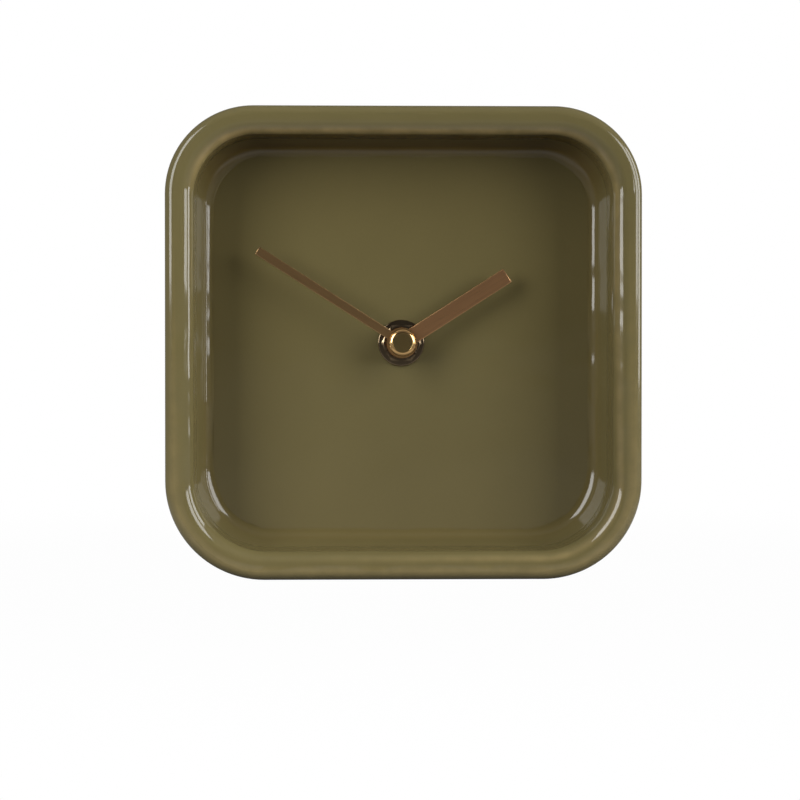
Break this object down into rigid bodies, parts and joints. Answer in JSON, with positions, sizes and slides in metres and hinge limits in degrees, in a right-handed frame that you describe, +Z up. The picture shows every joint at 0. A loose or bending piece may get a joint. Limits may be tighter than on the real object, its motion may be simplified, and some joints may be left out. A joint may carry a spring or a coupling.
{
  "type": "table clock",
  "caption": "Square table clock in glazed ceramic with a thick rounded lip, a deep plain dial, flat bar hands and a battery quartz movement set in its open back.",
  "frame": {"origin": "on the table, under the middle of the ceramic block", "axes": "+Z up, the dial faces -Y, +X to the right as the dial is read"},
  "size_m": [0.135, 0.05, 0.134],
  "materials": {
    "olive_glaze": "glossy transparent-looking olive glaze",
    "rose_gold": "fine brushed rose gold plating",
    "polished_brass": "polished",
    "turned_brass": "turned",
    "black_nickel": "polished black nickel",
    "nickel_steel": "nickel plated",
    "electric_steel": "stamped sheet",
    "dark_magnet": "sintered magnet",
    "black_plastic": "fine moulded texture",
    "white_acetal": "moulded acetal",
    "bobbin_plastic": "moulded nylon",
    "soft_rubber": "matt",
    "copper_wire": "enamelled fine copper wire",
    "board_green": "solder mask",
    "black_resin": "poured resin",
    "cell_jacket": "plain printed sleeve"
  },
  "bodies": {
    "clock": {"ceramic_body": "olive_glaze", "hex_nut": "black_nickel", "front_washer": "black_nickel", "threaded_bushing": "turned_brass", "rubber_gasket": "soft_rubber", "movement_front_case": "black_plastic", "rear_cover": "black_plastic", "train_bridge": "black_plastic", "stator_plate": "electric_steel", "coil_core": "electric_steel", "coil_bobbin": "bobbin_plastic", "coil_winding": "copper_wire", "circuit_board": "board_green", "quartz_crystal": "nickel_steel", "control_chip": "black_resin", "positive_contact": "nickel_steel", "negative_contact": "nickel_steel", "battery_cell": "cell_jacket", "bridge_screw_1": "nickel_steel", "bridge_screw_2": "nickel_steel", "bridge_screw_3": "nickel_steel", "bridge_screw_4": "nickel_steel", "stator_screw_1": "nickel_steel", "stator_screw_2": "nickel_steel"},
    "minute": {"minute_hand": "rose_gold", "minute_arbor": "turned_brass", "hand_cap_nut": "polished_brass", "clutch_spring": "nickel_steel"},
    "hour": {"hour_hand": "rose_gold", "hour_wheel": "white_acetal"},
    "motion": {"minute_wheel": "white_acetal"},
    "setting": {"setting_pinion": "white_acetal", "setting_knob": "black_plastic"},
    "second": {"second_wheel": "white_acetal"},
    "third": {"third_wheel": "white_acetal"},
    "centre": {"centre_wheel": "white_acetal"},
    "intermediate": {"intermediate_wheel": "white_acetal"},
    "rotor": {"rotor_magnet": "dark_magnet", "rotor_pinion": "white_acetal"}
  },
  "joints": [
    {"name": "minute_hand_turn", "type": "hinge", "parent": "clock", "child": "minute", "pos_m": [0, 0, 0.067], "axis": [0, 1, 0], "continuous": true},
    {"name": "hour_hand_turn", "type": "hinge", "parent": "clock", "child": "hour", "pos_m": [0, 0, 0.067], "axis": [0, 1, 0], "continuous": true},
    {"name": "minute_wheel_turn", "type": "hinge", "parent": "clock", "child": "motion", "pos_m": [-0.00945, 0, 0.06867], "axis": [0, 1, 0], "continuous": true},
    {"name": "setting_knob_turn", "type": "hinge", "parent": "clock", "child": "setting", "pos_m": [-0.01287, 0, 0.07806], "axis": [0, 1, 0], "continuous": true},
    {"name": "second_wheel_turn", "type": "hinge", "parent": "clock", "child": "second", "pos_m": [0, 0, 0.067], "axis": [0, 1, 0], "continuous": true},
    {"name": "third_wheel_turn", "type": "hinge", "parent": "clock", "child": "third", "pos_m": [0.00975, 0, 0.06872], "axis": [0, 1, 0], "continuous": true},
    {"name": "centre_wheel_turn", "type": "hinge", "parent": "clock", "child": "centre", "pos_m": [0, 0, 0.067], "axis": [0, 1, 0], "continuous": true},
    {"name": "intermediate_wheel_turn", "type": "hinge", "parent": "clock", "child": "intermediate", "pos_m": [-0.00287, 0, 0.07489], "axis": [0, 1, 0], "continuous": true},
    {"name": "rotor_turn", "type": "hinge", "parent": "clock", "child": "rotor", "pos_m": [-0.0018, 0, 0.08096], "axis": [0, 1, 0], "continuous": true}
  ],
  "couplings": [
    {"joint": "hour_hand_turn", "follows": "minute_hand_turn", "ratio": 0.083333},
    {"joint": "minute_wheel_turn", "follows": "minute_hand_turn", "ratio": -0.33333},
    {"joint": "setting_knob_turn", "follows": "minute_hand_turn", "ratio": 0.85714},
    {"joint": "third_wheel_turn", "follows": "second_wheel_turn", "ratio": -0.13333},
    {"joint": "centre_wheel_turn", "follows": "second_wheel_turn", "ratio": 0.016667},
    {"joint": "intermediate_wheel_turn", "follows": "second_wheel_turn", "ratio": -5},
    {"joint": "rotor_turn", "follows": "second_wheel_turn", "ratio": 30}
  ]
}
